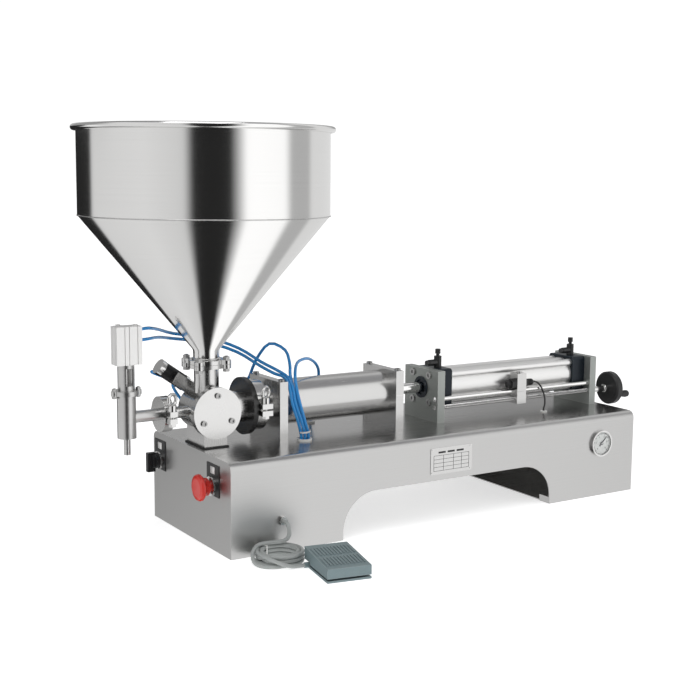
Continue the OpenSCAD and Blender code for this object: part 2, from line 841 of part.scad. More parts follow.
module sensor_bracket() {
    xa = bracket_x[0];
    xb = bracket_x[1];
    color("silver") difference() {
        union() {
            block([xa, -51, 160], [xb, -30.5, guide_z - 0.2]);
            block([xa, -51, guide_z + 0.2], [xb, -30.5, 213]);
            block([xa + 4, -34, 170], [xb - 4, -31, 205]);
        }
        rod_x(xa - 1, xb + 1, screw_radius + 0.06, adjust_y, guide_z);
        rod_x(xa - 1, xb + 1, screw_radius + 0.05, adjust_y, screw_z);
        rod_x(xa - 1, xb + 1, 6, -42, 195);
    }
    color("dimgray") translate([213, -42, 213]) socket_screw(4, 3, 2, 3);
}

module limit_sensor() {
    color("black") {
        rod_x(186, 245, 5.95, -42, 195);
        rod_x(193, 202.9, 9.2, -42, 195);
        rod_x(223.1, 228, 8.5, -42, 195);
    }
}

module sensor_cable() {
    color("black") swept_tube(sensor_route, 3, 8, 3);
}

// Flow control on the air cylinder: banjo, arm, elbow and needle post.
module speed_controller(x, s) {
    rod_z(230, 250, 6.5, x, -8);
    translate([x, -8, 239]) rotate([0, s * 90, 0]) cylinder(h = 19, r = 5.5);
    translate([x + s * 19, -8, 239]) rotate([0, s * 90, 0]) cylinder(h = 5, r = 4.6);
    rod_z(250, 254, 3, x, -8);
}

module speed_controllers() {
    color("dimgray") {
        speed_controller(61, -1);
        speed_controller(362, -1);
    }
}

module speed_knob(x) {
    difference() {
        rod_z(254.1, 262, 4.6, x, -8);
        rod_z(254, 255, 3.1, x, -8);
    }
}

module speed_knob_front() {
    color("black") speed_knob(61);
}

module speed_knob_rear() {
    color("black") speed_knob(362);
}

module air_tubes() {
    color("dodgerblue") {
        swept_tube(nozzle_tube_a, tube_d, 8, 2);
        swept_tube(nozzle_tube_b, tube_d, 8, 2);
        swept_tube(front_tube, tube_d, 8, 2);
        swept_tube(crossing_tube, tube_d, 8, 2);
        swept_tube(return_tube, tube_d, 8, 2);
    }
}

module pedal_place() {
    translate(pedal_pos) rotate([0, 0, pedal_turn]) children();
}

module pedal_base() {
    w = pedal_width;
    d = pedal_depth;
    color("slategray") pedal_place() {
        translate([-w / 2, -d / 2, 0]) cube([w, d, 3]);
        for (x = [-22, 22]) difference() {
            block([x - 3, 30, 2.5], [x + 3, 42, 15]);
            translate([x - 4, 36, 10]) rotate([0, 90, 0]) cylinder(h = 8, r = 2);
        }
        translate([-25, 36, 10]) rotate([0, 90, 0]) cylinder(h = 50, r = 2);
        translate([-w / 2 - 6, 30, 4.2]) rotate([0, 90, 0]) cylinder(h = 7, r = 4);
    }
}

module pedal_tread() {
    w = pedal_width;
    d = pedal_depth;
    slope = atan2(7, d);
    color("steelblue") pedal_place() {
        difference() {
            translate([-w / 2, 0, 0]) rotate([90, 0, 90]) linear_extrude(w)
                polygon([[-46, 6], [-46, 20], [46, 27], [46, 9], [24, 9], [22, 6]]);
            translate([-w / 2 + 3, 0, 0]) rotate([90, 0, 90]) linear_extrude(w - 6)
                polygon([[-43, 0], [-43, 17], [43, 23.5], [43, 0]]);
        }
        difference() {
            for (x = [-14, 14]) block([x - 3, 32, 7], [x + 3, 40, 24]);
            translate([-w / 2, 36, 10]) rotate([0, 90, 0]) cylinder(h = w, r = 2.05);
        }
        for (k = [-1, 1], i = [0 : 11])
            translate([-28.8 + i * 5.1, k * 19, 23.5 + k * 19 * 7 / 92 - 0.4]) rotate([slope, 0, 0])
                translate([0, -15, 0]) cube([2.2, 30, 1.6]);
    }
}

module pedal_cord() {
    color("gray") {
        swept_tube(cord_exit, cord_d, 8, 3);
        swept_tube(cord_tail, cord_d, 8, 3);
    }
}

module pedal_cord_coil() {
    color("gray") translate([coil_pos[0], coil_pos[1], 0.2]) rotate_extrude() translate([coil_r - cord_d, 0])
        square([2 * cord_d, 3 * cord_d]);
}

module solenoid_valves() {
    color("dimgray") {
        block([-300, -95, deck - sheet - 12], [-190, -65, deck - sheet]);
        for (x = [-290 : 26 : -212]) {
            block([x, -93, deck - sheet - 40], [x + 20, -67, deck - sheet - 12]);
            block([x + 2, -110, deck - sheet - 38], [x + 18, -93, deck - sheet - 18]);
        }
    }
}

base_shell();
end_panels();
bottom_plates();
nameplate();
gauge_case();
gauge_needle();
gauge_glass();
cable_gland();
hose_grommets();
legend_plates();
switch_collars();
selector_knob();
estop_plunger();
estop_head();
valve_gasket();
valve_mount();
valve_body();
valve_cover();
valve_rotor();
actuator_bracket();
actuator_barrel();
actuator_end_caps();
actuator_rod();
hopper();
flange_bolts();
outlet_clamp();
outlet_wing_nut();
nozzle_tube();
nozzle_yoke();
nozzle_cylinder();
nozzle_plug_rod();
inlet_flange();
inlet_clamp();
inlet_wing_nut();
cylinder_head();
product_cylinder();
lower_clamp_plates();
upper_clamp_plates();
socket_screws();
product_piston();
piston_rod();
air_mount_plates();
air_cylinder_caps();
air_cylinder_barrel();
guide_rod();
lead_screw();
handwheel();
crank_knob();
sensor_bracket();
limit_sensor();
sensor_cable();
speed_controllers();
speed_knob_front();
speed_knob_rear();
air_tubes();
pedal_base();
pedal_tread();
pedal_cord();
pedal_cord_coil();
solenoid_valves();
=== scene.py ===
"""Looks of the bench-top piston liquid filler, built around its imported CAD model.

Frame: X from the nozzle end to the handwheel end, Y to the rear, Z up, metres.
Lengths in the tables and calls below are millimetres, as on a drawing; mm() turns them to metres.
"""

import math

import bmesh
import bpy
from mathutils import Matrix, Vector


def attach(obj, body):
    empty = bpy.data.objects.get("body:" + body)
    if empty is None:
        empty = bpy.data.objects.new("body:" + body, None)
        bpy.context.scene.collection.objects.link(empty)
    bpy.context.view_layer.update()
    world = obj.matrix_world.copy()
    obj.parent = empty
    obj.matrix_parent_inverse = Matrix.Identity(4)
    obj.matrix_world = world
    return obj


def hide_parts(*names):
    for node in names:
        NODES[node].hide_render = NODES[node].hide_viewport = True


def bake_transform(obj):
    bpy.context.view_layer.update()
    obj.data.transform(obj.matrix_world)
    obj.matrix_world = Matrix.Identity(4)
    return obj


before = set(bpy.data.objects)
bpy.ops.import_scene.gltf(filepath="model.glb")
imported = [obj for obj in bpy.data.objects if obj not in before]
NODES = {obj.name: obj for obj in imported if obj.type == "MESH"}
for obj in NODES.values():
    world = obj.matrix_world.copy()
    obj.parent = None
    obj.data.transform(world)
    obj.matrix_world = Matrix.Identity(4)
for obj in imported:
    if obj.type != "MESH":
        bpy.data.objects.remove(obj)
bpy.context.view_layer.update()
scene = bpy.context.scene

# ---------------------------------------------------------------- sizes (mm)
AXIS_Z = 197.5
VALVE_X = -371
NOZZLE_X = -501.5
DECK = 143
HALF_L, HALF_W = 400, 137.5
ADJUST_Y, GUIDE_Z, SCREW_Z = -39.5, 181.5, 167.5
GAUGE_X, GAUGE_Z = 322, 93.5
PLATE_X, PLATE_Z = -4, 103.5
SWITCH_Z, ESTOP_Y, SELECTOR_Y = 99, -81, 110
PEDAL_AT, PEDAL_TURN = (-293, -258), -10
COIL_AT, CORD_D, TUBE_D, SENSOR_D = (-341, -176.5), 6, 5, 3
ACT_ANGLE, ACT_Y, ACT_N = 35, 55, 20.5


def mm(*v):
    """Millimetres to metres: one number, or a Vector of three."""
    return v[0] / 1000 if len(v) == 1 else Vector(v) / 1000


# ---------------------------------------------------------------- camera
def add_camera():
    data = bpy.data.cameras.new("camera")
    data.lens, data.sensor_width = 63.98, 36
    data.clip_start, data.clip_end = 0.05, 100
    cam = bpy.data.objects.new("camera", data)
    scene.collection.objects.link(cam)
    turn, tilt, roll = (math.radians(a) for a in (-32.4, 90 - 8.3, 0.51))
    cam.matrix_world = (
        Matrix.Translation((-1.191, -1.701, 0.565))
        @ Matrix.Rotation(turn, 4, "Z")
        @ Matrix.Rotation(tilt, 4, "X")
        @ Matrix.Rotation(roll, 4, "Z")
    )
    scene.camera = cam


add_camera()


# ---------------------------------------------------------------- materials
class Nodes:
    """A short way to write a node tree."""

    def __init__(self, tree):
        self.tree = tree
        tree.nodes.clear()

    def add(self, kind, **settings):
        n = self.tree.nodes.new("ShaderNode" + kind)
        for k, v in settings.items():
            setattr(n, k, v)
        return n

    def link(self, a, b):
        self.tree.links.new(a, b)

    def value(self, socket, v):
        if isinstance(v, bpy.types.NodeSocket):
            self.link(v, socket)
        else:
            socket.default_value = v

    def math(self, op, a, b=0.0, c=0.0, clamp=False):
        n = self.add("Math", operation=op, use_clamp=clamp)
        for s, v in zip(n.inputs, (a, b, c)):
            self.value(s, v)
        return n.outputs[0]

    def spread(self, v, low, high, to_low=0.0, to_high=1.0):
        n = self.add("MapRange", interpolation_type="SMOOTHSTEP")
        for s, x in zip(n.inputs, (v, low, high, to_low, to_high)):
            self.value(s, x)
        return n.outputs[0]

    def noise(self, where, freq, detail=2.0, rough=0.5, shift=0.0):
        """Noise with its own frequency, per metre, along each axis."""
        m = self.add("Mapping")
        self.link(where, m.inputs["Vector"])
        m.inputs["Scale"].default_value = freq
        m.inputs["Location"].default_value = (shift, shift * 0.7, shift * 0.3)
        n = self.add("TexNoise")
        self.link(m.outputs[0], n.inputs["Vector"])
        n.inputs["Scale"].default_value = 1.0
        n.inputs["Detail"].default_value = detail
        n.inputs["Roughness"].default_value = rough
        return n.outputs["Fac"]

    def mix(self, fac, a, b):
        n = self.add("Mix", data_type="RGBA")
        self.value(n.inputs[0], fac)
        for s, v in ((n.inputs[6], a), (n.inputs[7], b)):
            if isinstance(v, bpy.types.NodeSocket):
                self.link(v, s)
            else:
                s.default_value = (*v, 1.0)
        return n.outputs[2]


def grey(v):
    return (v, v * 0.995, v * 0.985)


def level_normal(n, place, top):
    """The true normal, turned level on everything below top in the piece's own coordinates."""
    true = n.add("NewGeometry").outputs["Normal"]
    split = n.add("SeparateXYZ")
    n.link(place, split.inputs[0])
    out = n.add("CombineXYZ")
    n.link(split.outputs[0], out.inputs[0])
    n.link(split.outputs[1], out.inputs[1])
    level = n.add("VectorMath", operation="NORMALIZE")
    n.link(out.outputs[0], level.inputs[0])
    facing = n.add("VectorMath", operation="DOT_PRODUCT")
    n.link(level.outputs[0], facing.inputs[0])
    n.link(true, facing.inputs[1])
    signed = n.add("VectorMath", operation="SCALE")
    n.link(level.outputs[0], signed.inputs[0])
    n.link(n.math("SIGN", facing.outputs["Value"]), signed.inputs["Scale"])
    pick = n.add("Mix", data_type="VECTOR")
    n.link(n.spread(split.outputs[2], top, top + 0.003), pick.inputs[0])
    n.link(signed.outputs[0], pick.inputs[4])
    n.link(true, pick.inputs[5])
    return pick.outputs[1]


def surface(
    name,
    light,
    dark,
    rough,
    metal=1.0,
    grain=(40, 40, 40),
    grain_detail=2.0,
    grain_rough=0.06,
    bump=0.15,
    bump_height=0.00002,
    wear_and_highlight=0.0,
    wear_and_highlight_colour=(0.75, 0.75, 0.74),
    wear_and_highlight_radius=0.0007,
    clouds=6.0,
    coat=0.0,
    specular=0.5,
    deck=None,
    upright=0.0,
):
    """Metal, plastic or rubber. light and dark are the two colours that the grain and clouds mix, rough its middle
    roughness, grain the grain's frequency per metre along each axis, wear_and_highlight the brightening of its edges,
    partly edge wear and partly a painted highlight where a rounded edge would catch the light, deck how much smoother
    the faces are that look up, and upright the height in metres, in the piece's own coordinates, up to which its
    reflections run straight up and down."""
    m = bpy.data.materials.new(name)
    m.use_nodes = True
    n = Nodes(m.node_tree)
    out = n.add("OutputMaterial")
    p = n.add("BsdfPrincipled")
    n.link(p.outputs[0], out.inputs[0])
    place = n.add("TexCoord").outputs["Object"]
    fine = n.noise(place, grain, grain_detail, 0.6)
    cloud = n.noise(place, (clouds,) * 3, 3.0, 0.55, 3.1)
    tone = n.math("MULTIPLY_ADD", cloud, 0.55, n.math("MULTIPLY_ADD", fine, 0.9, -0.22), clamp=True)
    colour = n.mix(tone, dark, light)
    r = n.math("MULTIPLY_ADD", n.math("SUBTRACT", fine, 0.5), grain_rough * 2, rough)
    r = n.math("MULTIPLY_ADD", n.math("SUBTRACT", cloud, 0.5), grain_rough * 1.4, r)
    if deck:
        geometry = n.add("NewGeometry")
        split = n.add("SeparateXYZ")
        n.link(geometry.outputs["Normal"], split.inputs[0])
        flat = n.spread(split.outputs["Z"], 0.55, 0.95)
        r = n.math("MULTIPLY_ADD", flat, deck, r)
    # Edge mask from the Bevel node: it brightens the colour and smooths the roughness at edges. This is partly edge
    # wear and partly a painted highlight that stands in for the glint of a rounded edge.
    if wear_and_highlight:
        edge = n.add("Bevel", samples=4)
        edge.inputs["Radius"].default_value = wear_and_highlight_radius
        true = n.add("NewGeometry")
        dot = n.add("VectorMath", operation="DOT_PRODUCT")
        n.link(edge.outputs[0], dot.inputs[0])
        n.link(true.outputs["Normal"], dot.inputs[1])
        worn_and_lit_edge = n.spread(n.math("MULTIPLY_ADD", cloud, 0.04, dot.outputs["Value"]), 1.0, 0.93)
        worn_and_lit_edge = n.math("MULTIPLY", worn_and_lit_edge, wear_and_highlight, clamp=True)
        colour = n.mix(worn_and_lit_edge, colour, wear_and_highlight_colour)
        r = n.math("MULTIPLY_ADD", worn_and_lit_edge, -0.1, r)
    n.link(colour, p.inputs["Base Color"])
    n.link(n.math("MAXIMUM", r, 0.03), p.inputs["Roughness"])
    p.inputs["Metallic"].default_value = metal
    p.inputs["Specular IOR Level"].default_value = specular
    if coat:
        p.inputs["Coat Weight"].default_value = coat
        p.inputs["Coat Roughness"].default_value = 0.08
    b = n.add("Bump")
    b.inputs["Strength"].default_value = bump
    b.inputs["Distance"].default_value = bump_height
    n.link(fine, b.inputs["Height"])
    if upright:
        n.link(level_normal(n, place, upright), b.inputs["Normal"])
    n.link(b.outputs[0], p.inputs["Normal"])
    return m


def glass(name):
    m = bpy.data.materials.new(name)
    m.use_nodes = True
    n = Nodes(m.node_tree)
    out = n.add("OutputMaterial")
    p = n.add("BsdfPrincipled")
    n.link(p.outputs[0], out.inputs[0])
    place = n.add("TexCoord").outputs["Object"]
    smear = n.noise(place, (60, 60, 60), 4.0)
    n.link(n.spread(smear, 0.3, 0.9, 0.01, 0.06), p.inputs["Roughness"])
    n.link(n.mix(smear, (0.96, 0.98, 0.98), (1, 1, 1)), p.inputs["Base Color"])
    p.inputs["Transmission Weight"].default_value = 1.0
    p.inputs["IOR"].default_value = 1.25
    return m


ALONG_X, ALONG_Y, ALONG_Z = (5, 2600, 2600), (2600, 5, 2600), (2600, 2600, 5)
TURNED_X, TURNED_Y, TURNED_Z = (3200, 30, 30), (30, 3200, 30), (30, 30, 3200)

# Where a finish sets the edge term, its edges are brightened towards the given edge colour. This is partly edge wear
# and partly a painted highlight on the edges.
MAT = {
    "sheet": surface("brushed_sheet", grey(0.58), grey(0.49), 0.33, grain=ALONG_X, grain_rough=0.10, bump=0.35,
                     bump_height=0.00001, deck=-0.09, clouds=3),
    "panel": surface("brushed_panel", grey(0.58), grey(0.49), 0.36, grain=ALONG_Y, grain_rough=0.10, bump=0.35,
                     bump_height=0.00001, clouds=3),
    "mirror": surface("spun_sheet", grey(0.84), grey(0.78), 0.14, grain=(3, 3, 900), grain_rough=0.03,
                      bump=0.06, bump_height=0.000002, clouds=3, upright=0.164),
    "weld": surface("weld_bead", grey(0.66), grey(0.52), 0.26, grain=(900, 900, 900), grain_rough=0.10, bump=0.5,
                    bump_height=0.00003, clouds=60),
    "plate": surface("milled_plate", grey(0.62), grey(0.54), 0.24, grain=ALONG_Z, grain_rough=0.09, bump=0.3,
                     bump_height=0.00001, wear_and_highlight=0.8, clouds=14),
    "turned_x": surface("turned_steel_x", grey(0.72), grey(0.60), 0.20, grain=TURNED_X, grain_rough=0.10, bump=0.35,
                        bump_height=0.00001, wear_and_highlight=0.6, clouds=10),
    "turned_y": surface("turned_steel_y", grey(0.74), grey(0.60), 0.24, grain=TURNED_Y, grain_rough=0.10, bump=0.35,
                        bump_height=0.00001, wear_and_highlight=0.6, clouds=10),
    "turned_z": surface("turned_steel_z", grey(0.72), grey(0.60), 0.18, grain=TURNED_Z, grain_rough=0.08, bump=0.3,
                        bump_height=0.00001, wear_and_highlight=0.6, clouds=10),
    "product": surface("honed_tube", grey(0.64), grey(0.56), 0.22, grain=(60, 2400, 2400), grain_rough=0.12,
                       bump=0.35, bump_height=0.00001, clouds=7),
    "polished": surface("polished_steel", grey(0.78), grey(0.70), 0.12, grain=(900, 900, 900), grain_rough=0.04,
                        bump=0.1, bump_height=0.000006, wear_and_highlight=0.4, clouds=16),
    "chrome": surface("chromed_rod", grey(0.86), grey(0.80), 0.07, grain=TURNED_X, grain_rough=0.03, bump=0.1,
                      bump_height=0.000005, clouds=12),
    "bolt": surface("bolt_steel", grey(0.46), grey(0.30), 0.30, grain=(1500, 1500, 1500), grain_rough=0.10, bump=0.3,
                    bump_height=0.00002, wear_and_highlight=0.9, clouds=60),
    "dark_ring": surface("black_flange", grey(0.026), grey(0.014), 0.24, metal=0.0, grain=TURNED_X, grain_rough=0.06,
                         bump=0.3, bump_height=0.00001, clouds=14),
    "mount": surface("anodised_mount", (0.44, 0.46, 0.44), (0.34, 0.36, 0.345), 0.50, metal=0.8, grain=ALONG_Z,
                     grain_rough=0.06, bump=0.3, bump_height=0.00001, wear_and_highlight=0.9, clouds=14),
    "satin_z": surface("satin_steel", grey(0.66), grey(0.54), 0.32, grain=TURNED_Z, grain_rough=0.08, bump=0.3,
                       bump_height=0.00001, wear_and_highlight=0.6, clouds=10),
    "barrel": surface("anodised_barrel", grey(0.88), grey(0.80), 0.34, metal=0.85, grain=ALONG_X, grain_rough=0.08,
                      bump=0.3, bump_height=0.00001, wear_and_highlight=0.3, clouds=5),
    "compact": surface("anodised_block", grey(0.86), grey(0.80), 0.42, metal=0.45, grain=ALONG_Z, grain_rough=0.06,
                       bump=0.4, bump_height=0.00002, wear_and_highlight=0.3, clouds=20),
    "navy": surface("navy_anodised", (0.010, 0.018, 0.028), (0.004, 0.007, 0.012), 0.36, metal=0.2, specular=0.35,
                    grain=(1400, 1400, 1400), grain_rough=0.08, bump=0.3, bump_height=0.00002, wear_and_highlight=0.8,
                    wear_and_highlight_colour=(0.16, 0.20, 0.23), clouds=30),
    "black": surface("black_plastic", (0.020, 0.020, 0.021), (0.009, 0.009, 0.010), 0.36, metal=0.0,
                     grain=(1900, 1900, 1900), grain_rough=0.10, bump=0.35, bump_height=0.00003, wear_and_highlight=0.5,
                     wear_and_highlight_colour=(0.07, 0.07, 0.07), clouds=50),
    "rubber": surface("black_rubber", (0.030, 0.030, 0.030), (0.016, 0.016, 0.016), 0.62, metal=0.0,
                      grain=(1300, 1300, 1300), grain_rough=0.10, bump=0.5, bump_height=0.00004, clouds=60),
    "jacket": surface("black_cable", (0.022, 0.022, 0.023), (0.012, 0.012, 0.012), 0.42, metal=0.0,
                      grain=(900, 900, 900), grain_rough=0.08, bump=0.3, bump_height=0.00003, clouds=60),
    "red": surface("red_plastic", (0.62, 0.028, 0.018), (0.50, 0.018, 0.012), 0.30, metal=0.0,
                   grain=(1200, 1200, 1200), grain_rough=0.06, bump=0.25, bump_height=0.00002, wear_and_highlight=0.35,
                   wear_and_highlight_colour=(0.80, 0.12, 0.08), clouds=50, coat=0.2),
    "white": surface("white_plastic", (0.86, 0.86, 0.84), (0.76, 0.76, 0.74), 0.38, metal=0.0,
                     grain=(1500, 1500, 1500), grain_rough=0.06, bump=0.25, bump_height=0.00002, clouds=50),
    "dial": surface("dial_enamel", (0.90, 0.90, 0.88), (0.84, 0.84, 0.82), 0.30, metal=0.0,
                    grain=(700, 700, 700), grain_rough=0.05, bump=0.1, bump_height=0.00001, clouds=40, coat=0.3),
    "ink": surface("printing_ink", (0.018, 0.018, 0.020), (0.010, 0.010, 0.012), 0.5, metal=0.0,
                   grain=(2500, 2500, 2500), grain_rough=0.06, bump=0.2, bump_height=0.00001, clouds=60),
    "label": surface("label_steel", grey(0.84), grey(0.76), 0.36, metal=0.55, grain=ALONG_X, grain_rough=0.05,
                     bump=0.2, bump_height=0.00001, clouds=20),
    "blue": surface("blue_air_tube", (0.02, 0.30, 0.70), (0.01, 0.20, 0.54), 0.22, metal=0.0,
                    grain=(400, 400, 400), grain_rough=0.05, bump=0.1, bump_height=0.00003, clouds=25, coat=0.5),
    "pale_blue": surface("pale_air_tube", (0.06, 0.38, 0.58), (0.04, 0.30, 0.50), 0.24, metal=0.0,
                         grain=(400, 400, 400), grain_rough=0.05, bump=0.1, bump_height=0.00003, clouds=25, coat=0.5),
    "cord": surface("grey_cord", (0.42, 0.44, 0.43), (0.32, 0.34, 0.335), 0.46, metal=0.0, grain=(900, 900, 900),
                    grain_rough=0.08, bump=0.4, bump_height=0.00004, clouds=45),
    "pedal": surface("cast_blue_grey", (0.245, 0.320, 0.335), (0.160, 0.215, 0.230), 0.40, metal=0.25,
                     grain=(1100, 1100, 1100), grain_rough=0.10, bump=0.6, bump_height=0.00005, wear_and_highlight=0.7,
                     wear_and_highlight_colour=(0.48, 0.55, 0.57), clouds=26),
    "glass": glass("gauge_glass"),
}

# CAD nodes whose shape is kept, by finish.
FINISH = {
    "sheet": ["base_shell", "bottom_plates"],
    "panel": ["end_panels"],
    "plate": ["lower_clamp_plates", "upper_clamp_plates", "sensor_bracket", "valve_mount",
              "actuator_bracket", "nameplate"],
    "turned_x": ["cylinder_head", "outlet_clamp", "inlet_clamp", "switch_collars", "product_piston"],
    "turned_y": ["valve_body", "valve_cover", "valve_rotor", "gauge_case", "cable_gland"],
    "satin_z": ["nozzle_tube", "nozzle_yoke"],
    "mount": ["air_mount_plates"],
    "product": ["product_cylinder"],
    "polished": ["outlet_wing_nut", "inlet_wing_nut", "nozzle_plug_rod", "actuator_end_caps", "actuator_rod"],
    "chrome": ["piston_rod", "guide_rod"],
    "bolt": ["flange_bolts", "socket_screws", "lead_screw"],
    "dark_ring": ["inlet_flange"],
    "barrel": ["air_cylinder_barrel"],
    "compact": ["nozzle_cylinder"],
    "navy": ["air_cylinder_caps"],
    "black": ["selector_knob", "handwheel", "crank_knob", "limit_sensor", "speed_controllers", "speed_knob_front",
              "speed_knob_rear", "actuator_barrel", "solenoid_valves", "legend_plates", "gauge_needle"],
    "rubber": ["valve_gasket"],
    "red": ["estop_plunger", "estop_head"],
    "white": ["hose_grommets"],
    "pedal": ["pedal_base", "pedal_tread"],
    "glass": ["gauge_glass"],
    "mirror": ["hopper"],
    "jacket": ["sensor_cable"],
    "blue": ["air_tubes"],
    "cord": ["pedal_cord", "pedal_cord_coil"],
}
for finish_name, members in FINISH.items():
    for member in members:
        mesh = NODES[member].data
        mesh.materials.clear()
        mesh.materials.append(MAT[finish_name])


# ---------------------------------------------------------------- world, light and floor
def add_world():
    """Pale studio, white to the camera. Seen in reflections it is a ring of bright and dark stretches; past the
    object it is half grey, with a dark band and a bright cap overhead and a bright patch low on the left."""
    world = bpy.data.worlds.new("studio")
    scene.world = world
    world.use_nodes = True
    n = Nodes(world.node_tree)
    way = n.add("TexCoord").outputs["Generated"]
    split = n.add("SeparateXYZ")
    n.link(way, split.inputs[0])
    x, y, z = split.outputs
    turn = n.math("ARCTAN2", x, n.math("MULTIPLY", y, -1.0))
    round_share = n.math("MULTIPLY_ADD", turn, 1 / (2 * math.pi), 0.5)
    ring = n.add("ValToRGB")
    ramp = ring.color_ramp
    ramp.interpolation = "LINEAR"
    # (bearing in degrees from straight ahead of the front face, level)
    stops = [(-180, 0.02), (-148, 0.02), (-143, 0.75), (-80, 0.82), (-44, 0.72), (-36, 0.02), (-3, 0.02), (4, 0.5),
             (12, 1.25), (50, 1.2), (58, 0.50), (80, 0.50), (86, 0.80), (150, 0.8), (156, 0.02), (180, 0.02)]
    ramp.elements[0].position, ramp.elements[1].position = 0.0, 1.0
    for angle, level in stops[1:-1]:
        ramp.elements.new((angle + 180) / 360)
    for element, (angle, level) in zip(ramp.elements, stops):
        element.position = (angle + 180) / 360
        element.color = (level, level, level, 1)
    n.link(round_share, ring.inputs[0])
    behind = n.math("MULTIPLY", n.spread(y, 0.30, 0.75), n.spread(z, 0.03, 0.09))
    behind = n.math("MULTIPLY", behind, n.spread(z, 0.75, 0.55))
    past_left = n.spread(turn, math.radians(140), math.radians(148), 0.34, 0.50)
    wall = n.mix(behind, ring.outputs[0], past_left)
    dark_band = n.math("MULTIPLY", n.spread(z, 0.74, 0.82), n.spread(z, 0.96, 0.93))
    sky = n.mix(n.spread(z, 0.93, 0.97), n.mix(dark_band, wall, (0.35, 0.35, 0.36)), (0.85, 0.85, 0.86))
    low_left = n.math("MULTIPLY", n.spread(x, -0.25, -0.5), n.spread(y, 0.5, 0.75))
    low_left = n.math("MULTIPLY", low_left, n.spread(z, -0.15, -0.20))
    sky = n.mix(low_left, sky, (1.05, 1.05, 1.05))
    light = n.add("Background")
    n.link(sky, light.inputs[0])
    light.inputs[1].default_value = 1.0
    seen = n.add("Background")
    seen.inputs[0].default_value = (1.0, 1.0, 1.0, 1)
    seen.inputs[1].default_value = 1.05
    both = n.add("MixShader")
    n.link(n.add("LightPath").outputs["Is Camera Ray"], both.inputs[0])
    n.link(light.outputs[0], both.inputs[1])
    n.link(seen.outputs[0], both.inputs[2])
    n.link(both.outputs[0], n.add("OutputWorld").inputs[0])


def add_light(name, at, aim, size, power):
    data = bpy.data.lights.new(name, "AREA")
    data.shape, data.size, data.energy = "SQUARE", size, power
    o = bpy.data.objects.new(name, data)
    scene.collection.objects.link(o)
    o.location = at
    o.rotation_mode = "QUATERNION"
    o.rotation_quaternion = (Vector(aim) - Vector(at)).to_track_quat("-Z", "Y")


def add_floor():
    bpy.ops.mesh.primitive_plane_add(size=80)
    floor = bpy.context.object
    floor.name = "floor"
    m = bpy.data.materials.new("floor")
    m.use_nodes = True
    p = m.node_tree.nodes["Principled BSDF"]
    p.inputs["Base Color"].default_value = (0.93, 0.93, 0.93, 1)
    p.inputs["Roughness"].default_value = 0.8
    p.inputs["Specular IOR Level"].default_value = 0.1
    p.inputs["Emission Color"].default_value = (1, 1, 1, 1)
    p.inputs["Emission Strength"].default_value = 0.62
    floor.data.materials.append(m)
    floor.visible_glossy = False


add_world()
add_light("key", (-0.9, -0.9, 2.6), (-0.1, 0, 0.2), 1.8, 18)
add_floor()
scene.view_settings.view_transform = "Standard"


# ---------------------------------------------------------------- mesh helpers
def new_piece(name, mesh, body, slot, material, *replaced):
    o = bpy.data.objects.new(name, mesh)
    scene.collection.objects.link(o)
    mesh.materials.append(MAT[material])
    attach(o, body)
    if replaced:
        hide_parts(*replaced)
    return o


def smooth(mesh, angle=35):
    """Smooth shading with the sharp edges kept."""
    bm = bmesh.new()
    bm.from_mesh(mesh)
    for f in bm.faces:
        f.smooth = True
    for e in bm.edges:
        e.smooth = len(e.link_faces) == 2 and e.calc_face_angle(0) < math.radians(angle)
    bm.to_mesh(mesh)
    bm.free()


def grid_mesh(name, rows, close_rows=False, cap=True, angle=35):
    """A closed-round surface through rows of points, each row a ring."""
    count = len(rows[0])
    points = [p for row in rows for p in row]
    faces = []
    spans = len(rows) if close_rows else len(rows) - 1
    for i in range(spans):
        a, b = i * count, ((i + 1) % len(rows)) * count
        for k in range(count):
            j = (k + 1) % count
            faces.append((a + k, a + j, b + j, b + k))
    if cap and not close_rows:
        faces.append(tuple(reversed(range(count))))
        faces.append(tuple(range(len(points) - count, len(points))))
    mesh = bpy.data.meshes.new(name)
    mesh.from_pydata([tuple(p) for p in points], [], faces)
    bm = bmesh.new()
    bm.from_mesh(mesh)
    bmesh.ops.recalc_face_normals(bm, faces=bm.faces)
    bm.to_mesh(mesh)
    bm.free()
    smooth(mesh, angle)
    return mesh


def lathe(name, outline, place, sides=96, closed=True, angle=35):
    """Turns an outline of (radius, height) mm round the local Z axis; place is the matrix to the row frame."""
    rows = []
    for r, h in outline:
        rows.append([
            place @ mm(r * math.cos(2 * math.pi * k / sides), r * math.sin(2 * math.pi * k / sides), h)
            for k in range(sides)
        ])
    return grid_mesh(name, rows, close_rows=closed, cap=not closed, angle=angle)


def arc(cx, cy, r, start, end, steps):
    """Points of an arc in an outline, angles in degrees."""
    return [
        (cx + r * math.cos(math.radians(start + (end - start) * i / steps)),
         cy + r * math.sin(math.radians(start + (end - start) * i / steps)))
        for i in range(steps + 1)
    ]


def place_at(x, y, z, axis="Z"):
    """Matrix whose local Z points along the named axis, at a place in mm."""
    turn = {"Z": Matrix(), "X": Matrix.Rotation(math.pi / 2, 4, "Y"), "-X": Matrix.Rotation(-math.pi / 2, 4, "Y"),
            "-Y": Matrix.Rotation(math.pi / 2, 4, "X"), "Y": Matrix.Rotation(-math.pi / 2, 4, "X")}[axis]
    return Matrix.Translation(mm(x, y, z)) @ turn


def smooth_route(points, steps):
    """Points on a smooth curve through given ones, with steps per stretch; the CAD routes do the same."""
    out = []
    last = len(points) - 1
    for i in range(last):
        a, b, c, d = (Vector(points[j]) for j in (max(i - 1, 0), i, i + 1, min(i + 2, last)))
        for k in range(steps):
            t = k / steps
            out.append(0.5 * (2 * b + (c - a) * t + (2 * a - 5 * b + 4 * c - d) * t * t
                              + (3 * b - a - 3 * c + d) * t ** 3))
    out.append(Vector(points[last]))
    return out


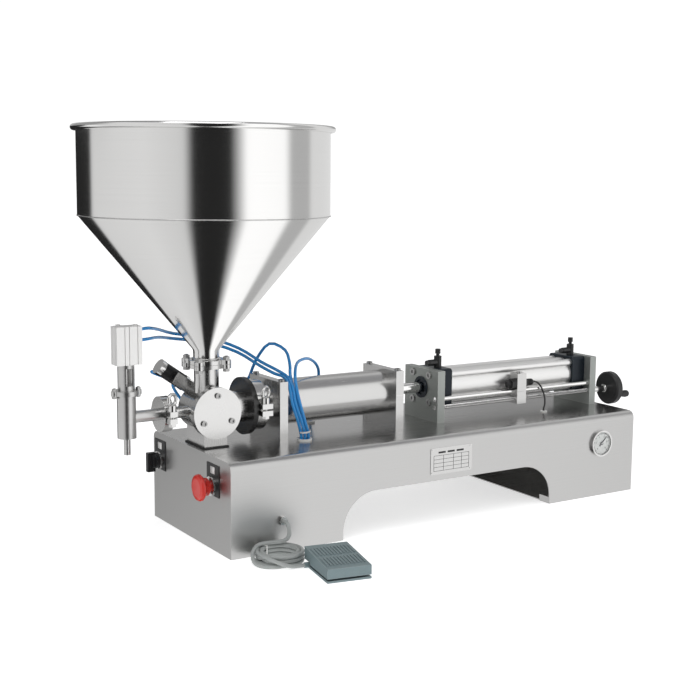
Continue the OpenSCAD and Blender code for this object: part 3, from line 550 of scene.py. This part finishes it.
def cord_curve(name, points, diameter, material):
    """A round cord along points in mm, as a curve of one open spline."""
    data = bpy.data.curves.new(name, "CURVE")
    data.dimensions = "3D"
    data.bevel_depth = mm(diameter / 2)
    data.bevel_resolution = 4
    data.use_fill_caps = True
    spline = data.splines.new("POLY")
    spline.points.add(len(points) - 1)
    for p, q in zip(spline.points, points):
        p.co = (*mm(*q), 1)
    spline.use_smooth = True
    data.materials.append(MAT[material])
    o = bpy.data.objects.new(name, data)
    scene.collection.objects.link(o)
    return o


# ---------------------------------------------------------------- cords and tubes
CORD_EXIT = [(-315, -143, 48), (-315, -149.4, 47.3), (-315, -154.8, 44.2), (-315, -158, 39), (-315, -159.2, 34.5),
             (-316.2, -159.4, 29.8), (-319.6, -158.8, 25.4), (-325.5, -157, 22.8), (-334, -154.4, 21.9),
             (-348, -151, 21.8), (-365, -153, 21.2), (-378, -163, 15), (-384, -178, 6.5), (-380, -193, 3.3),
             (-367, -205, 3.3), (-351, -208, 3.3)]
NOZZLE_TUBE_A = [(-476.5, 0, 328), (-462, 6, 328), (-434, 34, 321), (-396, 64, 309), (-336, 64, 298),
                 (-292, 46, 281), (-270, 12, 262), (-257, -18, 251.5), (-248.8, -36, 242.5), (-246, -47, 227),
                 (-244, -52, 204), (-234, -54, 174), (-227, -52, 153), (-227, -52, 140)]
NOZZLE_TUBE_B = [(-476.5, 0, 312), (-462, 6, 312), (-434, 34, 309), (-396, 64, 301), (-338, 64, 291),
                 (-295, 46, 275), (-274, 12, 257), (-262.5, -17, 247), (-255, -34, 243.4), (-251.8, -45.5, 231),
                 (-249, -51, 204), (-239, -52, 174), (-232.5, -50, 152), (-232.5, -50, 140)]
FRONT_TUBE = [(-426, 67.5, 250), (-425, 82, 249), (-408, 94, 240), (-310, 88, 203), (-268, 72, 218), (-255, 57, 258),
              (-242, 36, 286), (-231, 4, 279), (-236, -20, 260), (-243, -34, 244), (-240, -44, 216),
              (-230, -48, 174), (-224, -46.5, 150), (-224, -46.5, 140)]
CROSSING_TUBE = [(-221, -52.5, 140), (-221, -52.5, 152), (-228.5, -55, 174), (-237, -53.5, 204), (-240, -48, 228),
                 (-235.5, -36, 247), (-218, -12, 259.5), (-194, 6, 262), (-173, 22, 257), (-152, 38, 244),
                 (-141, 50, 225), (-142, 60, 190), (-149, 62, 158), (-150, 62, 140)]
RETURN_TUBE = [(-392, 67.5, 226), (-391, 80, 225), (-382, 91, 213), (-366, 92, 190), (-354, 81, 168),
               (-350, 68, 152), (-350, 66, 140)]
SENSOR_ROUTE = [(245, -42, 195), (247, -42, 195), (249, -42, 195), (256, -43, 192), (262, -47, 183),
                (264, -53, 168), (259, -60, 156), (254, -63, 149), (254, -63, 140)]


def declare_tube(name, route, diameter, material, steps):
    points = smooth_route(route, steps)
    o = cord_curve(name, points, diameter, material)
    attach(o, "frame")
    return o


tube_a = declare_tube("nozzle_tube_upper", NOZZLE_TUBE_A, TUBE_D, "blue", 3)
declare_tube("nozzle_tube_lower", NOZZLE_TUBE_B, TUBE_D, "blue", 3)
declare_tube("actuator_tube_front", FRONT_TUBE, TUBE_D, "blue", 3)
declare_tube("actuator_tube_rear", RETURN_TUBE, TUBE_D, "blue", 4)
declare_tube("crossing_tube", CROSSING_TUBE, TUBE_D, "blue", 3)
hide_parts("air_tubes")


def tube_mesh(name, points, diameter, sides=14):
    """A closed round tube along points in mm."""
    rows, normal = [], Vector((0.31, 0.17, 1))
    for i, p in enumerate(points):
        way = (points[min(i + 1, len(points) - 1)] - points[max(i - 1, 0)]).normalized()
        normal = (normal - way * normal.dot(way)).normalized()
        side = way.cross(normal)
        rows.append([
            mm(*(p + diameter / 2 * (math.cos(a) * normal + math.sin(a) * side)))
            for a in (2 * math.pi * k / sides for k in range(sides))
        ])
    return grid_mesh(name, rows)


# Pedal cord: gland, loose drop over the coil, neat coil of six turns, last strand to the foot switch.
def ease(t):
    return t * t * (3 - 2 * t)


def coil_turns():
    """Six turns in three layers of two, from the bottom outer turn to the top outer one."""
    outer, inner = 33.1, 26.9
    layers = (3.3, 9.4, 15.5)
    # (radius, height) at the start of each turn; the last entry is where the coil ends.
    plan = [(outer, layers[0]), (inner, layers[0]), (inner, layers[1]), (outer, layers[1]), (inner, layers[2]),
            (outer, layers[2])]
    start, per_turn, points = -90, 24, []
    total = 6 * per_turn - round(per_turn * 65 / 360)
    for i in range(total):
        turn = i / per_turn
        k, part = int(turn), turn % 1
        r, z = plan[k]
        if k + 1 < len(plan):
            r2, z2 = plan[k + 1]
            rise = min(max((part - 0.72) / 0.12, 0), 1)
            shift = min(max((part - (0.84 if z2 > z and r2 != r else 0.72)) / 0.14, 0), 1)
            r, z = r + (r2 - r) * ease(shift), z + (z2 - z) * ease(rise)
        a = math.radians(start + 360 * turn)
        points.append(Vector((COIL_AT[0] + r * math.cos(a), COIL_AT[1] + r * math.sin(a), z)))
    return points


CORD_TAIL = [(-371, -197, 14.4), (-364, -209, 11.5), (-354, -217.5, 7.5), (-345, -219.6, 4.9), (-336, -220, 4.2),
             (-326.2, -221.7, 4.2)]
cord_points = smooth_route(CORD_EXIT, 3)[:-1] + coil_turns()
cord_points += smooth_route([cord_points[-1], *CORD_TAIL], 3)[1:]
pedal_lead = cord_curve("pedal_lead", cord_points, CORD_D, "cord")
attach(pedal_lead, "frame")
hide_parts("pedal_cord", "pedal_cord_coil")

sensor_points = smooth_route(SENSOR_ROUTE, 4)
sensor_lead = bpy.data.objects.new("sensor_lead", tube_mesh("sensor_lead", sensor_points, SENSOR_D))
scene.collection.objects.link(sensor_lead)
sensor_lead.data.materials.append(MAT["jacket"])
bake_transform(sensor_lead)
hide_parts("sensor_cable")


# ---------------------------------------------------------------- solids gathered into one piece
class Shape:
    """Closed solids in mm, gathered into one mesh."""

    def __init__(self):
        self.bm = bmesh.new()

    def take(self, part, place=None, edge=0.0, segments=2, sharp=40):
        if edge:
            hard = [e for e in part.edges if len(e.link_faces) == 2
                    and e.calc_face_angle(0) > math.radians(sharp)]
            bmesh.ops.bevel(part, geom=hard, offset=edge, segments=segments, profile=0.5, affect="EDGES",
                            clamp_overlap=True)
        if place is not None:
            bmesh.ops.transform(part, matrix=place, verts=part.verts)
        bmesh.ops.recalc_face_normals(part, faces=part.faces)
        mesh = bpy.data.meshes.new("part")
        part.to_mesh(mesh)
        self.bm.from_mesh(mesh)
        bpy.data.meshes.remove(mesh)
        part.free()
        return self

    def box(self, low, high, edge=0.5, place=None):
        part = bmesh.new()
        bmesh.ops.create_cube(part, size=1)
        low, high = Vector(low), Vector(high)
        size = high - low
        for v in part.verts:
            v.co = Vector(v.co[i] * size[i] for i in range(3)) + (low + high) / 2
        return self.take(part, place, edge)

    def prism(self, outline, low, high, edge=0.5, place=None):
        """A polygon in the local XY plane, extruded along local Z."""
        part = bmesh.new()
        bottom = [part.verts.new((x, y, low)) for x, y in outline]
        top = [part.verts.new((x, y, high)) for x, y in outline]
        part.faces.new(list(reversed(bottom)))
        part.faces.new(top)
        for i in range(len(outline)):
            j = (i + 1) % len(outline)
            part.faces.new((bottom[i], bottom[j], top[j], top[i]))
        return self.take(part, place, edge)

    def turned(self, outline, place, sides=64, closed=False):
        """An outline of (radius, height) turned round local Z; place is in mm. Open outlines start and end on the
        axis."""
        part = bmesh.new()
        rings = []
        for r, h in outline:
            if r < 1e-6:
                rings.append([part.verts.new((0, 0, h))])
            else:
                rings.append([part.verts.new((r * math.cos(2 * math.pi * k / sides),
                                              r * math.sin(2 * math.pi * k / sides), h)) for k in range(sides)])
        pairs = list(zip(rings, rings[1:])) + ([(rings[-1], rings[0])] if closed else [])
        for a, b in pairs:
            for k in range(sides):
                j = (k + 1) % sides
                ring = [a[k % len(a)], a[j % len(a)], b[j % len(b)], b[k % len(b)]]
                part.faces.new(list(dict.fromkeys(ring)))
        return self.take(part, place)

    def piece(self, name, body, slot, material, *replaced, angle=35):
        mesh = bpy.data.meshes.new(name)
        bmesh.ops.scale(self.bm, vec=(0.001,) * 3, verts=self.bm.verts)
        self.bm.to_mesh(mesh)
        self.bm.free()
        smooth(mesh, angle)
        return new_piece(name, mesh, body, slot, material, *replaced)


def at(x, y, z, axis="Z"):
    """Matrix in mm whose local Z points along the named axis."""
    turn = place_at(0, 0, 0, axis)
    return Matrix.Translation((x, y, z)) @ turn


def hexagon(across, turn=0):
    return [(across / math.sqrt(3) * math.cos(math.radians(60 * k + turn)),
             across / math.sqrt(3) * math.sin(math.radians(60 * k + turn))) for k in range(6)]


# ---------------------------------------------------------------- hopper
def add_hopper():
    """Spun hopper: cone, cylinder, weld bead, rolled rim. Its own origin is on its axis, for its reflections."""
    r, wall, joint, rim = 188, 1.5, 494, 621.5
    outline = [(20, 276), (20, 288)]
    outline += [(20.4, 290.2), (21.6, 292.6)]
    outline += [(r - 1.4, joint - 1.7), (r - 0.5, joint - 0.7), (r, joint + 0.4)]
    outline += arc(r + 4.5 - wall, rim, 4.5, 222, 180 + 360, 26)
    outline += [(r - wall, joint + 1.2), (r - wall - 0.9, joint - 0.5), (20.2, 293.6), (18.9, 291.6), (18.5, 289),
                (18.5, 276)]
    centre = Vector((VALVE_X, 0, 450))
    shape = Shape()
    shape.turned([(a, h - centre.z) for a, h in outline], None, sides=288, closed=True)
    o = shape.piece("hopper_shell", "frame", "hopper", "mirror", "hopper", angle=28)
    o.location = mm(*centre)
    beads = Shape()
    for radius, height, thick in ((r + 0.1, joint - 0.1, 0.9), (20.6, 276.9, 1.7)):
        beads.turned([(radius + thick * math.cos(math.radians(a)), height + thick * math.sin(math.radians(a)))
                      for a in range(0, 360, 45)], at(VALVE_X, 0, 0), sides=160, closed=True)
    beads.piece("hopper_weld_beads", "frame", "hopper", "weld", angle=80)
    lugs = []
    for k in range(180):
        a = math.radians(2 * k)
        off = (2 * k) % 90 - 45
        side = 32 * math.sin(math.radians(off))
        reach = 32 * math.cos(math.radians(off)) + math.sqrt(max(7.5 ** 2 - side ** 2, 0)) if abs(side) < 7.5 else 0
        lugs.append((max(28, reach) * math.cos(a), max(28, reach) * math.sin(a)))
    flange = Shape()
    part = bmesh.new()
    heights = ((0.6, 269), (0, 269.6), (0, 275.4), (0.6, 276))
    rings = []
    for inset, z in heights:
        rings.append([part.verts.new((x * (1 - inset / 30), y * (1 - inset / 30), z)) for x, y in lugs])
    for z in (276, 269):
        rings.append([part.verts.new((18.6 * x / math.hypot(x, y), 18.6 * y / math.hypot(x, y), z)) for x, y in lugs])
    for a, b in zip(rings, rings[1:] + rings[:1]):
        for k in range(len(lugs)):
            j = (k + 1) % len(lugs)
            part.faces.new((a[k], a[j], b[j], b[k]))
    flange.take(part, Matrix.Translation((VALVE_X, 0, 0)))
    flange.piece("hopper_flange", "frame", "hopper", "turned_z")


# ---------------------------------------------------------------- gauge, nameplate and labels
def add_dial():
    face = -HALF_W - 1.6
    to_front = at(GAUGE_X, face, GAUGE_Z, "-Y")
    Shape().turned([(0, 0), (20.3, 0), (20.3, 0.4), (0, 0.4)], to_front).piece(
        "gauge_dial", "frame", "gauge_case", "dial")
    marks = Shape()
    top = 0.4
    for k in range(51):
        a = math.radians(225 - 270 * k / 50)
        major = k % 5 == 0
        length, width = (3.2, 0.55) if major else (1.7, 0.28)
        tick = Matrix.Rotation(a, 4, "Z")
        marks.box((18.6 - length, -width / 2, top), (18.6, width / 2, top + 0.15), 0, to_front @ tick)
    marks.turned([(18.7, top), (19.1, top), (19.1, top + 0.15), (18.7, top + 0.15)], to_front, closed=True)
    for k in range(6):
        a = math.radians(225 - 270 * k / 5)
        text = bpy.data.curves.new("number", "FONT")
        text.body, text.size, text.extrude = str(2 * k), 3.4, 0.07
        text.align_x, text.align_y = "CENTER", "CENTER"
        holder = bpy.data.objects.new("number", text)
        mesh = bpy.data.meshes.new_from_object(holder)
        part = bmesh.new()
        part.from_mesh(mesh)
        marks.take(part, to_front @ Matrix.Translation((12.6 * math.cos(a), 12.6 * math.sin(a), top + 0.08)))
        bpy.data.objects.remove(holder)
        bpy.data.curves.remove(text)
        bpy.data.meshes.remove(mesh)
    marks.piece("gauge_scale", "frame", "gauge_case", "ink")


def add_plates():
    """Ruled, blank cells on the rating plate, and blank white labels over the two switches."""
    front = -HALF_W - 0.8
    rules = Shape()
    line = 0.5
    left, right, low, high = PLATE_X - 35, PLATE_X + 35, PLATE_Z - 16, PLATE_Z + 9
    for z in (low, low + 6.25, low + 12.5, low + 18.75, high):
        rules.box((left, front - 0.2, z - line / 2), (right, front, z + line / 2), 0)
    for x in (left, PLATE_X - 16, PLATE_X + 4, PLATE_X + 20, right):
        rules.box((x - line / 2, front - 0.2, low), (x + line / 2, front, high), 0)
    for x0, x1 in ((-26, -12), (-8, 6), (10, 24)):
        rules.box((PLATE_X + x0, front - 0.2, PLATE_Z + 12.4), (PLATE_X + x1, front, PLATE_Z + 15.4), 0)
    rules.piece("nameplate_rules", "frame", "nameplate", "ink")
    labels = Shape()
    for y in (ESTOP_Y, SELECTOR_Y):
        labels.box((-HALF_L - 1.7, y - 7, SWITCH_Z + 18.5), (-HALF_L - 1.1, y + 7, SWITCH_Z + 29), 0.15)
    labels.piece("switch_labels", "frame", "legend_plates", "label")


# ---------------------------------------------------------------- actuator, screw, sensor, ties
def add_actuator_barrel():
    """Black barrel with turned ribs, on the slanted line beside the valve."""
    line = Matrix.Translation((VALVE_X, ACT_Y, AXIS_Z)) @ Matrix.Rotation(math.radians(ACT_ANGLE), 4, "Y")
    outline = [(9, -74), (11.4, -74), (11.9, -73.5)]
    s = -72.5
    while s < -36.5:
        outline += [(11.95, s), (11.95, s + 1.3), (11.1, s + 1.7), (11.1, s + 2.3)]
        s += 2.7
    outline += [(11.9, -35.2), (11.9, -34.4), (11.5, -34), (9, -34)]
    place = line @ Matrix.Translation((0, 0, ACT_N)) @ Matrix.Rotation(math.pi / 2, 4, "Y")
    Shape().turned(outline, place, closed=True).piece(
        "actuator_ribbed_barrel", "frame", "actuator_barrel", "black", "actuator_barrel")


def add_lead_screw():
    """Four-start screw of 8 mm lead, with plain ends."""
    r, lead, starts, depth = 4, 8, 4, 0.75
    sides, step = 28, 0.5
    x0, x1 = 34, 434
    rows = []
    for i in range(int((x1 - x0) / step) + 1):
        x = x0 + i * step
        ring = []
        for k in range(sides):
            a = 2 * math.pi * k / sides
            phase = ((x / lead - a / (2 * math.pi)) * starts) % 1
            groove = min(max((abs(phase - 0.5) - 0.14) / 0.16, 0), 1)
            cut = depth * (1 - groove) if x0 + 16 < x < 375 else 0
            ring.append(mm(x, ADJUST_Y + (r - cut) * math.cos(a), SCREW_Z + (r - cut) * math.sin(a)))
        rows.append(ring)
    mesh = grid_mesh("screw", rows, angle=60)
    new_piece("adjusting_screw_thread", mesh, "adjusting_screw", "lead_screw", "polished", "lead_screw")
    stem = Shape()
    stem.turned([(4.0, 0), (5.5, 0), (5.5, 33), (5.1, 34), (4.0, 34)], at(392, ADJUST_Y, SCREW_Z, "X"), closed=True)
    stem.turned([(5.2, 0), (7.0, 0), (7.5, 0.5), (7.5, 7.5), (7.0, 8), (5.2, 8)], at(418, ADJUST_Y, SCREW_Z, "X"),
                closed=True)
    stem.piece("adjusting_screw_stem", "adjusting_screw", "lead_screw", "polished")


def add_sensor():
    """Threaded barrel switch with two hex nuts and a cable boss."""
    body = Shape()
    outline = [(0, 186), (5.0, 186), (5.4, 186.5)]
    x = 187
    while x < 240:
        outline += [(5.95, x), (5.95, x + 0.35), (5.45, x + 0.6), (5.45, x + 0.8)]
        x += 1.0
    outline += [(5.6, 240.5), (5.6, 242), (3.6, 244.4), (3.2, 245), (0, 245)]
    body.turned([(r, h) for r, h in outline], at(0, -42, 195, "X"), sides=40)
    for a, b in ((193, 197.6), (198.3, 202.9), (223.2, 227.8)):
        body.prism(hexagon(16.4), a, b, 0.5, at(0, -42, 195, "X"))
    body.piece("threaded_sensor", "stroke_adjuster", "limit_sensor", "black", "limit_sensor")


def add_ties():
    """Cable ties on the tube bundle and the cord coil."""
    tie, radius = Shape(), 8.4
    way = Vector((0.1, 0, -1)).normalized().to_track_quat("Z", "Y").to_matrix().to_4x4()
    place = Matrix.Translation((-226.5, -51, 157)) @ way
    tie.turned([(radius, -1.2), (radius + 0.9, -1.2), (radius + 0.9, 1.2), (radius, 1.2)], place, closed=True)
    tie.box((radius - 0.5, -2, -1.8), (radius + 3.2, 2, 1.8), 0.4, place)
    tie.piece("tube_tie", "frame", "air_tubes", "white")
    band = Shape()
    a = math.radians(115)
    mid = Vector((COIL_AT[0] + 30 * math.cos(a), COIL_AT[1] + 30 * math.sin(a), 9.4))
    place = Matrix.Translation(mid) @ Matrix.Rotation(a, 4, "Z")
    for low, high in (((-6.9, -1.5, -9.1), (6.9, 1.5, -8.8)), ((-6.9, -1.5, 9.3), (6.9, 1.5, 9.9)),
                      ((-7.2, -1.5, -9.1), (-6.5, 1.5, 9.9)), ((6.5, -1.5, -9.1), (7.2, 1.5, 9.9))):
        band.box(low, high, 0.15, place)
    band.box((-2, -2.2, 9.4), (2.5, 2.2, 12.6), 0.5, place)
    band.piece("coil_tie", "frame", "pedal_cord_coil", "white")


add_hopper()
add_dial()
add_plates()
add_actuator_barrel()
add_lead_screw()
add_sensor()
add_ties()
